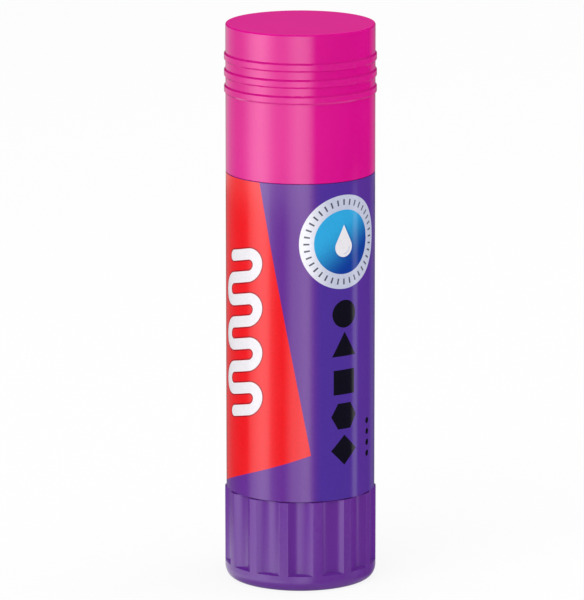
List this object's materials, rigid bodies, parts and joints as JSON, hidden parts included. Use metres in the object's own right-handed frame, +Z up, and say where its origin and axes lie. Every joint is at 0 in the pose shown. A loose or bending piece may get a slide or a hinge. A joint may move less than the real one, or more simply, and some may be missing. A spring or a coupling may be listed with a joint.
{
  "type": "glue stick",
  "caption": "Capped twist-up glue stick: a fluted base knob turns a threaded spindle that lifts the glue out of a labelled round barrel.",
  "frame": {"origin": "middle of the knob's flat underside, which stands on the table", "axes": "+Z up along the stick's axis; -Y faces the viewer of the picture"},
  "size_m": [0.0264, 0.0264, 0.0984],
  "materials": {
    "cap_plastic": "glossy magenta moulded plastic",
    "barrel_plastic": "glossy purple moulded plastic",
    "label_film": "glossy printed film, purple with a red panel",
    "knob_plastic": "glossy purple moulded plastic",
    "spindle_plastic": "natural white moulded plastic",
    "carrier_plastic": "natural white moulded plastic",
    "glue_mass": "waxy off-white glue"
  },
  "bodies": {
    "barrel": {"tube": "barrel_plastic", "label": "label_film"},
    "drive": {"knob": "knob_plastic", "spindle": "spindle_plastic"},
    "follower": {"carrier": "carrier_plastic", "glue": "glue_mass"},
    "lid": {"cap": "cap_plastic"}
  },
  "joints": [
    {"name": "knob_turn", "type": "hinge", "parent": "barrel", "child": "drive", "pos_m": [0, 0, 0], "axis": [0, 0, 1], "range_deg": [0, 4320]},
    {"name": "carrier_rise", "type": "slide", "parent": "barrel", "child": "follower", "axis": [0, 0, 1], "range_m": [0, 0.06]},
    {"name": "cap_pull", "type": "slide", "parent": "follower", "child": "lid", "axis": [0, 0, 1], "range_m": [0, 0.04]}
  ],
  "couplings": [
    {"joint": "knob_turn", "follows": "carrier_rise", "rad_per_m": 1256.6}
  ]
}
